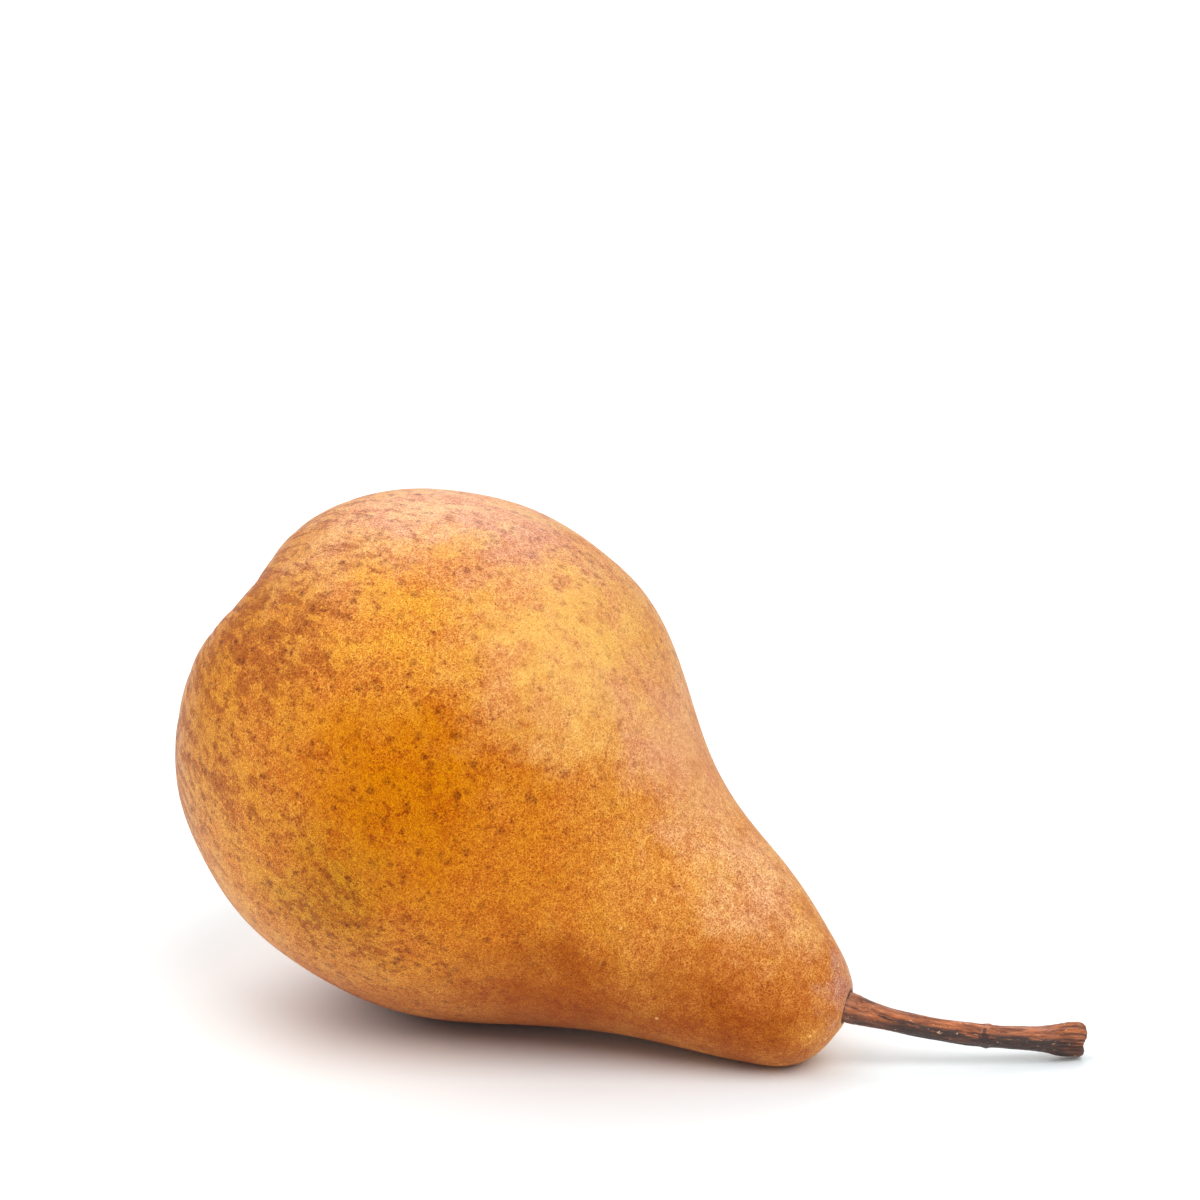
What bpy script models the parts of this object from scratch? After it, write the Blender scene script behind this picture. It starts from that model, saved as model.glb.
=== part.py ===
"""A ripe russet pear lying on its side: its fruit, its woody stem and its dried calyx.

Row frame: +Z up, +X the way the neck points, and the origin on the surface that the pear lies
on, under the middle of its box. The fruit and the calyx are made in the pear's own frame, with
+Z from the calyx to the stem along the core, +X the side that ends on top and +Y the side that
ends at the front, and are then laid down. The stem's route is given as it lies.
"""
import math

import bpy
import bmesh
import numpy as np
from mathutils import Matrix, Vector

MM = 0.001

# Fruit: its half outline, as the height along the core and the radius there, from the neck's
# tip down the outer side and into the calyx basin (mm). Height 0 is the widest place.
OUTLINE = [
    (66.8, 0.0), (65.3, 6.0), (63.0, 8.4), (60.0, 10.1), (50.0, 14.3), (40.0, 17.9),
    (30.0, 22.9), (20.0, 29.5), (10.0, 34.4), (0.0, 36.0), (-10.0, 35.5), (-20.0, 32.0),
    (-28.0, 27.0), (-35.0, 13.9), (-33.4, 8.0), (-29.7, 3.5), (-29.3, 0.0),
]
OUTLINE_STEPS = 52
OUTLINE_CROWDING = 0.45
SIDES = 64
MERGE_DISTANCE = 0.01 * MM
RIM_HEIGHT = -35.0 * MM

# Fruit: what makes it lopsided
SHOULDER_LEAN = 1.6 * MM
SHOULDER_HEIGHT = 28.0 * MM
SHOULDER_REACH = 24.0 * MM
SHOULDER_SIDE = math.radians(153)
FULLNESS = 0.35 * MM
FULLNESS_SIDE = math.radians(62)
FULLNESS_LOW = -34.0 * MM
FULLNESS_HIGH = 34.0 * MM
FURROW_DEPTH = 0.75 * MM
FURROW_SIDE = math.radians(50)
FURROW_SPREAD = math.radians(27)
RIB_COUNT = 5
RIB_HEIGHT = 0.3 * MM
FURROW_END = 5.0 * MM
RIB_END = -18.0 * MM
BASIN_FADE = 8.0 * MM

# How the pear lies: the core tips neck down by LIE_TILT, and the skin is pressed flat where
# the belly and the neck rest
LIE_TILT = math.radians(27.4)
PRESSED = 0.4 * MM
FLOOR_HALF_WIDTH = 100.0 * MM
FLOOR_DEPTH = 10.0 * MM

# Stem: hand-placed points of its middle line as it lies, before centring, from the root inside
# the neck to the knob (mm), and its radius along the way from root to knob (mm)
STEM_ROUTE = [
    (53.0, -1.9, 11.8), (56.8, 0.3, 10.2), (60.2, 2.3, 8.65), (63.6, 4.2, 7.25),
    (68.8, 7.1, 5.7), (74.0, 10.1, 4.6), (79.1, 13.4, 3.7), (84.0, 16.9, 3.0), (87.8, 19.8, 2.6),
]
STEM_RADII = [
    (0.0, 1.7), (6.5, 2.05), (8.5, 2.1), (11.5, 1.75), (16.0, 1.5), (24.0, 1.55),
    (32.0, 1.65), (36.0, 1.85), (38.5, 2.2), (40.2, 2.2), (41.2, 1.85),
]
STEM_END_SLOPE = -1.0
STEM_STEPS = 46
STEM_SIDES = 18
STEM_RIDGES = 5
STEM_RIDGE_HEIGHT = 0.05 * MM
STEM_RIDGE_TWIST = math.radians(160)
KNOB_START = 0.84
KNOB_LOBING = 0.13
KNOB_LOBE_SIDE = math.radians(80)
SOCKET_GAP = 0.35 * MM
SOCKET_SHARE = 0.5

# Calyx: a small cup with five dry sepals and a tuft of old stamens
CUP_RADIUS = 2.5 * MM
CUP_HEIGHT = 1.5 * MM
CUP_SIDES = 30
CALYX_TOP = -29.9 * MM
ROOT_RADIUS = 1.3 * MM
ROOT_LENGTH = 3.0 * MM
ROOT_SIDES = 18
SEAT_SIDES = 20
SEPAL_COUNT = 5
SEPAL_LENGTH = 4.4 * MM
SEPAL_HALF_WIDTH = 1.5 * MM
SEPAL_TIP = 0.25 * MM
SEPAL_TAPER = 0.8
SEPAL_BELLY = 0.5
SEPAL_THICKNESS = 0.65 * MM
SEPAL_ROWS = 9
SEPAL_COLUMNS = 4
SEPAL_SPREAD = math.radians(26)
SEPAL_CURL = math.radians(52)
SEPAL_CUP_RADIUS = 1.0 * MM
SEPAL_INSET = 0.4 * MM
SEPAL_UNEVENNESS = 0.09
SEPAL_UNEVEN_START = 0.7
SEPAL_UNEVEN_STEP = 2.4
STAMEN_COUNT = 7
STAMEN_RING = 1.1 * MM
STAMEN_LENGTH = 2.2 * MM
STAMEN_RADIUS = 0.32 * MM
STAMEN_TAPER = 0.7
STAMEN_SIDES = 6
STAMEN_SINK = 0.7 * CUP_HEIGHT
STAMEN_LEAN = math.radians(14)

# Edges sharper than this stay sharp
SHARP_ANGLE = math.radians(40)

# Colours, as linear base colour, roughness
SKIN = ((0.62, 0.25, 0.035), 0.48)
WOOD = ((0.16, 0.055, 0.022), 0.62)
DRY_SEPAL = ((0.045, 0.025, 0.015), 0.8)


def clear_scene():
    """Remove whatever the file holds, so that only the pear is in it."""
    for thing in list(bpy.data.objects):
        bpy.data.objects.remove(thing, do_unlink=True)


def make_collection(name):
    """A collection linked to the scene."""
    group = bpy.data.collections.new(name)
    bpy.context.scene.collection.children.link(group)
    return group


def make_material(name, look):
    """A plain Principled material of one colour and roughness."""
    colour, roughness = look
    material = bpy.data.materials.new(name)
    material.use_nodes = True
    shader = material.node_tree.nodes["Principled BSDF"]
    shader.inputs["Base Color"].default_value = (*colour, 1.0)
    shader.inputs["Roughness"].default_value = roughness
    shader.inputs["Metallic"].default_value = 0.0
    return material


def add_object(name, mesh, group, material=None):
    """An object for a mesh, in a collection, with its material."""
    thing = bpy.data.objects.new(name, mesh)
    group.objects.link(thing)
    if material:
        mesh.materials.clear()
        mesh.materials.append(material)
    return thing


def mesh_from_bmesh(name, shape):
    """A mesh with its faces turned outwards, from a bmesh that is then freed."""
    bmesh.ops.recalc_face_normals(shape, faces=shape.faces[:])
    mesh = bpy.data.meshes.new(name)
    shape.to_mesh(mesh)
    shape.free()
    return mesh


def ease(value):
    """0 below 0, 1 above 1 and an S curve between."""
    value = np.clip(value, 0.0, 1.0)
    return value * value * (3.0 - 2.0 * value)


def spline(stops, values, first_slope, last_slope, places):
    """Values at some places on the smooth cubic curve through the stops, with set end slopes."""
    count = len(stops)
    gaps = np.diff(stops)
    rises = np.diff(values) / gaps
    system = np.zeros((count, count))
    target = np.zeros(count)
    for row in range(1, count - 1):
        system[row, row - 1] = gaps[row - 1]
        system[row, row] = 2.0 * (gaps[row - 1] + gaps[row])
        system[row, row + 1] = gaps[row]
        target[row] = 6.0 * (rises[row] - rises[row - 1])
    system[0, 0:2] = 2.0 * gaps[0], gaps[0]
    target[0] = 6.0 * (rises[0] - first_slope)
    system[-1, -2:] = gaps[-1], 2.0 * gaps[-1]
    target[-1] = 6.0 * (last_slope - rises[-1])
    bends = np.linalg.solve(system, target)
    span = np.clip(np.searchsorted(stops, places) - 1, 0, count - 2)
    width = gaps[span]
    before = places - stops[span]
    after = stops[span + 1] - places
    cubic = (bends[span] * after ** 3 + bends[span + 1] * before ** 3) / (6.0 * width)
    from_left = (values[span] / width - bends[span] * width / 6.0) * after
    from_right = (values[span + 1] / width - bends[span + 1] * width / 6.0) * before
    return cubic + from_left + from_right


def chord_lengths(points):
    """How far along a row of points each one is."""
    steps = np.linalg.norm(np.diff(points, axis=0), axis=1)
    return np.concatenate([[0.0], np.cumsum(steps)])


def fruit_outline():
    """The fruit's half outline as radius and height, from the neck's tip to the basin floor."""
    points = np.array(OUTLINE) * MM
    along = chord_lengths(points)
    share = np.linspace(0.0, 1.0, OUTLINE_STEPS + 1)
    share = share - OUTLINE_CROWDING * np.sin(2.0 * np.pi * share) / (2.0 * np.pi)
    places = share * along[-1]
    heights = spline(along, points[:, 0], 0.0, 0.0, places)
    radii = spline(along, points[:, 1], 1.0, -1.0, places)
    radii[[0, -1]] = 0.0
    return np.maximum(radii, 0.0), heights


def shape_fruit(points):
    """Make a round fruit lopsided: points in the pear's own frame, moved by formula."""
    x, y, z = points.T
    side = np.arctan2(y, x)
    radius = np.hypot(x, y)

    belly = ease((z - FULLNESS_LOW) / -FULLNESS_LOW) * ease((FULLNESS_HIGH - z) / FULLNESS_HIGH)
    swell = FULLNESS * belly * (1.0 + np.cos(2.0 * (side - FULLNESS_SIDE)))
    widened = 1.0 + swell / np.maximum(radius, MM)
    shoulder = np.clip(1.0 - np.abs(z - SHOULDER_HEIGHT) / SHOULDER_REACH, 0.0, 1.0)
    lean = SHOULDER_LEAN * np.sin(0.5 * np.pi * shoulder) ** 2
    x = x * widened + lean * math.cos(SHOULDER_SIDE)
    y = y * widened + lean * math.sin(SHOULDER_SIDE)

    outside_basin = ease(radius / BASIN_FADE)
    off_furrow = (side - FURROW_SIDE + np.pi) % (2.0 * np.pi) - np.pi
    furrow_fade = ease((FURROW_END - z) / (FURROW_END - RIM_HEIGHT))
    furrow = FURROW_DEPTH * np.exp(-(off_furrow / FURROW_SPREAD) ** 2) * furrow_fade
    rib_fade = ease((RIB_END - z) / (RIB_END - RIM_HEIGHT))
    ribs = RIB_HEIGHT * np.cos(RIB_COUNT * off_furrow) * rib_fade
    moved = np.stack([x, y, z], axis=1)
    distance = np.linalg.norm(moved, axis=1)
    inward = (furrow + ribs) * outside_basin / distance
    return moved * (1.0 - inward)[:, None]


def turned_fruit():
    """The fruit's mesh in its own frame: the outline turned round the core, then shaped."""
    radii, heights = fruit_outline()
    profile = bpy.data.meshes.new("outline")
    points = [(radius, 0.0, height) for radius, height in zip(radii, heights)]
    profile.from_pydata(points, [(i, i + 1) for i in range(OUTLINE_STEPS)], [])
    turner = bpy.data.objects.new("outline", profile)
    bpy.context.scene.collection.objects.link(turner)
    screw = turner.modifiers.new("turn", "SCREW")
    screw.steps = SIDES
    screw.render_steps = SIDES
    screw.use_merge_vertices = True
    screw.merge_threshold = MERGE_DISTANCE
    graph = bpy.context.evaluated_depsgraph_get()
    mesh = bpy.data.meshes.new_from_object(turner.evaluated_get(graph))
    bpy.data.objects.remove(turner, do_unlink=True)
    flat = np.empty(len(mesh.vertices) * 3)
    mesh.vertices.foreach_get("co", flat)
    mesh.vertices.foreach_set("co", shape_fruit(flat.reshape(-1, 3)).ravel())
    mesh.update()
    return mesh


def lay_down(mesh):
    """The turn from the pear's own frame to how it lies, and the drop onto the surface."""
    turn = Matrix.Rotation(math.pi / 2 + LIE_TILT, 4, "Y") @ Matrix.Rotation(math.pi, 4, "Z")
    lowest = min((turn @ vertex.co).z for vertex in mesh.vertices)
    return Matrix.Translation((0.0, 0.0, -lowest - PRESSED)) @ turn


def cut(thing, name, cutter):
    """Take a cutter's volume out of an object."""
    cutter.hide_render = True
    cutter.display_type = "WIRE"
    boolean = thing.modifiers.new(name, "BOOLEAN")
    boolean.operation = "DIFFERENCE"
    boolean.solver = "EXACT"
    boolean.object = cutter


def box_below(name, half_width, depth, group):
    """A box whose top face is the surface that the pear lies on."""
    shape = bmesh.new()
    bmesh.ops.create_cube(shape, size=1.0)
    bmesh.ops.scale(shape, vec=(2 * half_width, 2 * half_width, depth), verts=shape.verts[:])
    bmesh.ops.translate(shape, vec=(0, 0, -depth / 2), verts=shape.verts[:])
    return add_object(name, mesh_from_bmesh(name, shape), group)


def stem_line(count):
    """Points along the stem's middle line, and the share of its length at each."""
    route = np.array(STEM_ROUTE) * MM
    along = chord_lengths(route)
    share = np.linspace(0.0, 1.0, count)
    first = (route[1] - route[0]) / (along[1] - along[0])
    last = (route[-1] - route[-2]) / (along[-1] - along[-2])
    line = [
        spline(along, route[:, axis], first[axis], last[axis], share * along[-1])
        for axis in range(3)
    ]
    return np.stack(line, axis=1), share


def stem_radius(share):
    """The stem's mean radius at a share of its length."""
    stops, radii = (np.array(STEM_RADII) * MM).T
    return spline(stops, radii, 0.0, STEM_END_SLOPE, share * stops[-1])


def tube_rings(line, sides, radius_at):
    """Rings of points round a line, carried along it without twist."""
    ahead = [Vector(step).normalized() for step in np.gradient(line, axis=0)]
    across = ahead[0].cross(Vector((0, 0, 1))).normalized()
    rings = []
    for index, middle in enumerate(line):
        across = (across - ahead[index] * across.dot(ahead[index])).normalized()
        upward = across.cross(ahead[index])
        ring = []
        for side in range(sides):
            angle = 2.0 * math.pi * side / sides
            spoke = across * math.cos(angle) + upward * math.sin(angle)
            ring.append(Vector(middle) + spoke * radius_at(index, angle))
        rings.append(ring)
    return rings


def loft(name, rings):
    """A closed skin through rings of points, with a flat face at each end."""
    shape = bmesh.new()
    rows = [[shape.verts.new(point) for point in ring] for ring in rings]
    sides = len(rows[0])
    for near, far in zip(rows, rows[1:]):
        for side in range(sides):
            after = (side + 1) % sides
            shape.faces.new((near[side], near[after], far[after], far[side]))
    shape.faces.new(rows[0])
    shape.faces.new(rows[-1])
    return mesh_from_bmesh(name, shape)


def build_stem(group, material):
    """The woody stem: a ridged shank that flares into its base and its two-lobed knob."""
    line, share = stem_line(STEM_STEPS)
    radii = stem_radius(share)

    def radius_at(index, angle):
        twist = STEM_RIDGE_TWIST * share[index]
        ridge = STEM_RIDGE_HEIGHT * math.cos(STEM_RIDGES * angle + twist)
        knob = float(ease((share[index] - KNOB_START) / (1.0 - KNOB_START)))
        lobes = KNOB_LOBING * knob * math.cos(2.0 * (angle - KNOB_LOBE_SIDE))
        return radii[index] * (1.0 + lobes) + ridge

    mesh = loft("stem", tube_rings(line, STEM_SIDES, radius_at))
    mesh.shade_smooth()
    return add_object("stem", mesh, group, material)


def stem_socket(group):
    """What the neck is hollowed by: the stem's root with a gap all round it."""
    line, share = stem_line(STEM_STEPS)
    inside = share <= SOCKET_SHARE
    line = line[inside]
    line[0] += (line[0] - line[1]) * (SOCKET_GAP / np.linalg.norm(line[0] - line[1]))
    radii = stem_radius(share[inside]) + SOCKET_GAP
    mesh = loft("stem_socket", tube_rings(line, STEM_SIDES, lambda index, angle: radii[index]))
    return add_object("stem_socket", mesh, group)


def round_post(name, radius, low, high, sides, group):
    """An upright cylinder between two heights."""
    shape = bmesh.new()
    bmesh.ops.create_cone(
        shape, cap_ends=True, segments=sides, radius1=radius, radius2=radius, depth=high - low
    )
    bmesh.ops.translate(shape, vec=(0, 0, (low + high) / 2), verts=shape.verts[:])
    return add_object(name, mesh_from_bmesh(name, shape), group)


def sepal(index, group):
    """One dry sepal: a pointed blade that stands on the cup's rim and curls outwards."""
    uneven = SEPAL_UNEVENNESS * math.sin(SEPAL_UNEVEN_STEP * index + SEPAL_UNEVEN_START)
    length = SEPAL_LENGTH * (1.0 + uneven)
    turn = 2.0 * math.pi * index / SEPAL_COUNT + uneven
    shape = bmesh.new()
    bmesh.ops.create_grid(shape, x_segments=SEPAL_ROWS, y_segments=SEPAL_COLUMNS, size=1.0)
    foot = CALYX_TOP - CUP_HEIGHT / 2
    for vertex in shape.verts:
        along = 0.5 * (vertex.co.x + 1.0)
        across = vertex.co.y
        blade = (1.0 - along) ** SEPAL_TAPER * (1.0 + SEPAL_BELLY * along)
        half = SEPAL_TIP + SEPAL_HALF_WIDTH * blade
        slope = SEPAL_SPREAD + (SEPAL_CURL - 2.0 * uneven) * along
        mean_slope = (SEPAL_SPREAD + slope) / 2
        cupping = along * (across * half) ** 2 / (2.0 * SEPAL_CUP_RADIUS)
        out = length * along * math.sin(mean_slope) - cupping * math.cos(slope)
        down = length * along * math.cos(mean_slope) + cupping * math.sin(slope)
        vertex.co = (CUP_RADIUS - SEPAL_INSET + out, across * half, foot - down)
    bmesh.ops.rotate(shape, matrix=Matrix.Rotation(turn, 3, "Z"), verts=shape.verts[:])
    thing = add_object("sepal", mesh_from_bmesh("sepal", shape), group)
    shell = thing.modifiers.new("thickness", "SOLIDIFY")
    shell.thickness = SEPAL_THICKNESS
    shell.offset = 0.0
    return thing


def stamen(turn, group):
    """One dry stamen stub inside the cup, leaning a little outwards."""
    shape = bmesh.new()
    bmesh.ops.create_cone(
        shape, cap_ends=True, segments=STAMEN_SIDES, depth=STAMEN_LENGTH,
        radius1=STAMEN_RADIUS, radius2=STAMEN_RADIUS * STAMEN_TAPER,
    )
    mesh = mesh_from_bmesh("stamen", shape)
    thing = add_object("stamen", mesh, group)
    place = Matrix.Rotation(turn, 4, "Z") @ Matrix.Translation(
        (STAMEN_RING, 0.0, CALYX_TOP - STAMEN_SINK - STAMEN_LENGTH / 2)
    )
    thing.matrix_world = place @ Matrix.Rotation(math.pi + STAMEN_LEAN, 4, "Y")
    return thing


def build_calyx(group, scraps, material):
    """The dried calyx: cup, root, sepals and stamens joined into one body."""
    root_end = CALYX_TOP + ROOT_LENGTH
    cup = round_post(
        "calyx", CUP_RADIUS, CALYX_TOP - CUP_HEIGHT, CALYX_TOP, CUP_SIDES, group
    )
    cup.data.materials.append(material)
    round_post("root", ROOT_RADIUS, CALYX_TOP - CUP_HEIGHT / 2, root_end, ROOT_SIDES, scraps)
    for index in range(SEPAL_COUNT):
        sepal(index, scraps)
    for index in range(STAMEN_COUNT):
        stamen(2.0 * math.pi * index / STAMEN_COUNT, scraps)
    union = cup.modifiers.new("join", "BOOLEAN")
    union.operation = "UNION"
    union.solver = "MANIFOLD"
    union.operand_type = "COLLECTION"
    union.collection = scraps
    graph = bpy.context.evaluated_depsgraph_get()
    joined = bpy.data.meshes.new_from_object(cup.evaluated_get(graph))
    cup.modifiers.clear()
    cup.data = joined
    for thing in list(scraps.objects):
        bpy.data.objects.remove(thing, do_unlink=True)
    return cup


def calyx_seat(group):
    """What the basin floor is hollowed by: the calyx's root with a gap all round it."""
    return round_post(
        "calyx_seat", ROOT_RADIUS + SOCKET_GAP, CALYX_TOP - CUP_HEIGHT,
        CALYX_TOP + ROOT_LENGTH + SOCKET_GAP, SEAT_SIDES, group
    )


def centre_over_origin(things, holder):
    """Shift the whole pear so that its box's middle is over the origin."""
    graph = bpy.context.evaluated_depsgraph_get()
    corners = []
    for thing in things:
        solid = thing.evaluated_get(graph)
        corners += [solid.matrix_world @ vertex.co for vertex in solid.data.vertices]
    for axis in range(2):
        places = [corner[axis] for corner in corners]
        holder.location[axis] = -0.5 * (min(places) + max(places))


def main():
    """Build the pear."""
    clear_scene()
    pieces = make_collection("pear")
    cutters = make_collection("cutters")
    scraps = make_collection("calyx_scraps")

    fruit_mesh = turned_fruit()
    laid = lay_down(fruit_mesh)
    fruit = add_object("fruit", fruit_mesh, pieces, make_material("skin", SKIN))
    fruit.matrix_world = laid
    stem = build_stem(pieces, make_material("wood", WOOD))
    calyx = build_calyx(pieces, scraps, make_material("dry_sepal", DRY_SEPAL))
    calyx.matrix_world = laid

    floor = box_below("floor", FLOOR_HALF_WIDTH, FLOOR_DEPTH, cutters)
    socket = stem_socket(cutters)
    seat = calyx_seat(cutters)
    seat.matrix_world = laid
    cut(fruit, "rest_flats", floor)
    cut(fruit, "stem_socket", socket)
    cut(fruit, "calyx_seat", seat)

    holder = bpy.data.objects.new("pear_frame", None)
    pieces.objects.link(holder)
    for thing in (fruit, stem, calyx, floor, socket, seat):
        thing.parent = holder
    bpy.context.view_layer.update()
    centre_over_origin((fruit, stem, calyx), holder)
    for thing in (fruit, calyx):
        thing.data.set_sharp_from_angle(angle=SHARP_ANGLE)


main()
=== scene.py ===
"""The looks of a ripe russet pear lying on its side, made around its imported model.

The fruit and the calyx are shaped in the pear's own frame: +Z from the calyx to the stem along
the core, +X the side that ends on top and +Y the side that ends at the front. They are then
laid down as the model's are. The stem's route is given as it lies. Everything is in metres
except what is marked (mm) and the materials, whose places and sizes are in millimetres.
"""
import math

import bpy
import numpy as np
from mathutils import Matrix, Vector, noise
from mathutils.bvhtree import BVHTree


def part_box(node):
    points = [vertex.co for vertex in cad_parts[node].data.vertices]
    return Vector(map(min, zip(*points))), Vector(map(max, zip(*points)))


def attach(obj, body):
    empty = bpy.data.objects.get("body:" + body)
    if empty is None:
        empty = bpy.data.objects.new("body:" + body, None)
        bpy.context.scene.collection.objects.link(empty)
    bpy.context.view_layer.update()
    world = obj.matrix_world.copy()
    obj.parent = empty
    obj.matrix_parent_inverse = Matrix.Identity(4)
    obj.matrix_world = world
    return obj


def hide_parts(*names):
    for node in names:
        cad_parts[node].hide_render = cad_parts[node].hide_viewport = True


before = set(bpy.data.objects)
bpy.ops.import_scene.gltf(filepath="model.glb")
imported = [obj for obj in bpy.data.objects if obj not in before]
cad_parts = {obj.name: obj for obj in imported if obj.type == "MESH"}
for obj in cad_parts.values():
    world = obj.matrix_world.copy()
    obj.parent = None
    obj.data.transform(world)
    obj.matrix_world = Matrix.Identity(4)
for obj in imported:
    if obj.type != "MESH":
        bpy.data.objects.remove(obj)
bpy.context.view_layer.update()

MM = 0.001

# Fruit: its half outline, as the height along the core and the radius there (mm)
OUTLINE = [
    (66.8, 0.0), (65.3, 6.0), (63.0, 8.4), (60.0, 10.1), (50.0, 14.3), (40.0, 17.9),
    (30.0, 22.9), (20.0, 29.5), (10.0, 34.4), (0.0, 36.0), (-10.0, 35.5), (-20.0, 32.0),
    (-28.0, 27.0), (-35.0, 13.9), (-33.4, 8.0), (-29.7, 3.5), (-29.3, 0.0),
]
OUTLINE_STEPS = 270
OUTLINE_CROWDING = 0.45
SIDES = 352
RIM_HEIGHT = -35.0 * MM
# How many of the outline's last points lie inside the basin
BASIN_POINTS = 3

# Fruit: what makes it lopsided
SHOULDER_LEAN = 1.6 * MM
SHOULDER_HEIGHT = 28.0 * MM
SHOULDER_REACH = 24.0 * MM
SHOULDER_SIDE = math.radians(153)
FULLNESS = 0.35 * MM
FULLNESS_SIDE = math.radians(62)
FULLNESS_LOW = -34.0 * MM
FULLNESS_HIGH = 34.0 * MM
FURROW_DEPTH = 0.75 * MM
FURROW_SIDE = math.radians(50)
FURROW_SPREAD = math.radians(27)
RIB_COUNT = 5
RIB_HEIGHT = 0.3 * MM
FURROW_END = 5.0 * MM
RIB_END = -18.0 * MM
BASIN_FADE = 8.0 * MM

# Fruit: how it lies
LIE_TILT = math.radians(27.4)
PRESSED = 0.4 * MM

# Fruit: soft unevenness of the skin, as wavelength and depth, from broad dents to fine grain
DENTS = [(24.0 * MM, 0.26 * MM), (8.0 * MM, 0.07 * MM), (2.4 * MM, 0.016 * MM)]
CREASE_COUNT = 23
CREASE_DEPTH = 0.12 * MM
CREASE_END = -27.0 * MM
CREASE_SHARPNESS = 3
CREASE_WANDER = 2.7
CREASE_WANDER_SIZE = 6.0 * MM

# Fruit: the pit that the stem comes out of, and the swollen lip round it
PIT_GAP = 0.05 * MM
PIT_WALL = 0.22 * MM
PIT_DEPTH = 1.3 * MM
LIP_HEIGHT = 0.12 * MM
LIP_PLACE = 1.0 * MM
LIP_SPREAD = 0.9 * MM
# How far from the skin the painted shade on the stem's foot reaches
FOOT_SHADE_REACH = 0.6 * MM
FOOT_REACH = 12.0 * MM

# Stem: points of its middle line as it lies, before centring (mm), and its radius along the
# way from root to knob (mm)
STEM_ROUTE = [
    (53.0, -1.9, 11.8), (56.8, 0.3, 10.2), (60.2, 2.3, 8.65), (63.6, 4.2, 7.25),
    (68.8, 7.1, 5.7), (74.0, 10.1, 4.6), (79.1, 13.4, 3.7), (84.0, 16.9, 3.0), (87.8, 19.8, 2.6),
]
STEM_RADII = [
    (0.0, 1.7), (6.5, 2.05), (8.5, 2.1), (11.5, 1.75), (16.0, 1.5), (24.0, 1.55),
    (32.0, 1.65), (36.0, 1.85), (38.5, 2.2), (40.2, 2.2), (41.2, 1.85),
]
STEM_END_SLOPE = -1.0
STEM_STEPS = 420
STEM_SIDES = 80
STEM_RIDGES = 5
STEM_RIDGE_HEIGHT = 0.05 * MM
STEM_RIDGE_TWIST = math.radians(160)
KNOB_START = 0.84
KNOB_LOBING = 0.17
KNOB_LOBE_SIDE = math.radians(80)
KNOB_NOTCH = 0.4 * MM
KNOB_NOTCH_SIDE = math.radians(-8)
KNOB_NOTCH_SHARPNESS = 6
KNOB_GROOVES = 17
KNOB_GROOVE_DEPTH = 0.3 * MM
KNOB_GROOVE_START = 0.87
KNOB_GROOVE_FADE = 0.06
KNOB_GROOVE_WANDER = 0.8
KNOB_GROOVE_WAVES = 3.0
KNOB_GROOVE_TWIST = 9.0
# Bark relief, as size across, stretch along the stem and height
BARK = [(1.2 * MM, 7.0, 0.16 * MM), (0.5 * MM, 8.0, 0.11 * MM), (0.2 * MM, 3.0, 0.03 * MM)]
# The stem's node, with its place as a share of the stem's length and from its root (mm)
NODE_SHARE = 0.675
NODE_PLACE = 27.8
NODE_HEIGHT = 0.16 * MM
NODE_SPREAD = 0.011
# The stem's end face
END_RINGS = 26
END_HOLLOW = 0.5 * MM
END_HOLLOW_SHARE = 0.5
END_ROUGHNESS = 0.12 * MM
END_ROUGHNESS_SIZE = 0.5 * MM

# Calyx: its cup, whose outline is given as radius and height from the calyx's top (mm)
CUP_RADIUS = 2.5 * MM
CUP_HEIGHT = 1.5 * MM
CALYX_TOP = -29.9 * MM
CUP_OUTLINE = [
    (0.0, -0.45), (0.9, -0.55), (1.6, -0.85), (2.05, -1.3), (2.35, -1.5), (2.5, -1.2),
    (2.45, -0.4), (2.3, 0.0), (1.2, 0.4),
]
CUP_STEPS = 40
CUP_SIDES = 72
CUP_ROUGHNESS = 0.12 * MM
CUP_ROUGHNESS_SIZE = 0.9 * MM

# Calyx: its sepals
SEPAL_COUNT = 5
SEPAL_LENGTH = 4.4 * MM
SEPAL_HALF_WIDTH = 1.45 * MM
SEPAL_TIP = 0.1 * MM
SEPAL_TAPER = 0.8
SEPAL_BELLY = 0.5
SEPAL_THICKNESS = 0.3 * MM
SEPAL_ROWS = 40
SEPAL_COLUMNS = 20
SEPAL_SPREAD = math.radians(26)
SEPAL_CURL = math.radians(66)
SEPAL_CUP_RADIUS = 1.0 * MM
SEPAL_INSET = 0.4 * MM
SEPAL_UNEVENNESS = 0.09
SEPAL_UNEVEN_START = 0.7
SEPAL_UNEVEN_STEP = 2.4
SEPAL_WRINKLE = 0.13 * MM
SEPAL_WRINKLE_SIZE = 0.55
SEPAL_WRINKLES_ALONG = 3.0
SEPAL_WRINKLES_ACROSS = 2.0
SEPAL_WRINKLE_STEP = 5.0
SEPAL_WRINKLE_START = 0.2

# Calyx: its stamens, whose turn, ring and length change by a step from each to the next
STAMEN_COUNT = 17
STAMEN_STEPS = 24
STAMEN_SIDES = 10
STAMEN_TURN_STEP = 2.4
STAMEN_RING = 1.5 * MM
STAMEN_RING_SPREAD = 0.45
STAMEN_RING_STEP = 1.7
STAMEN_LENGTH = 2.6 * MM
STAMEN_LENGTH_SPREAD = 0.25
STAMEN_LENGTH_STEP = 2.9
STAMEN_RADIUS = 0.11 * MM
STAMEN_SINK = 0.6 * MM
STAMEN_BEND = 0.25 * MM
STAMEN_BEND_TURNS = 3.0
STAMEN_SPLAY = 0.35 * MM
STAMEN_TWIST = 0.5
BEAD_SWELL = 1.3
BEAD_PLACE = 0.93
BEAD_SPREAD = 0.06
THREAD_TIP = 1.02
THREAD_TIP_LENGTH = 0.08
THREAD_TIP_LEAST = 0.05

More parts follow.
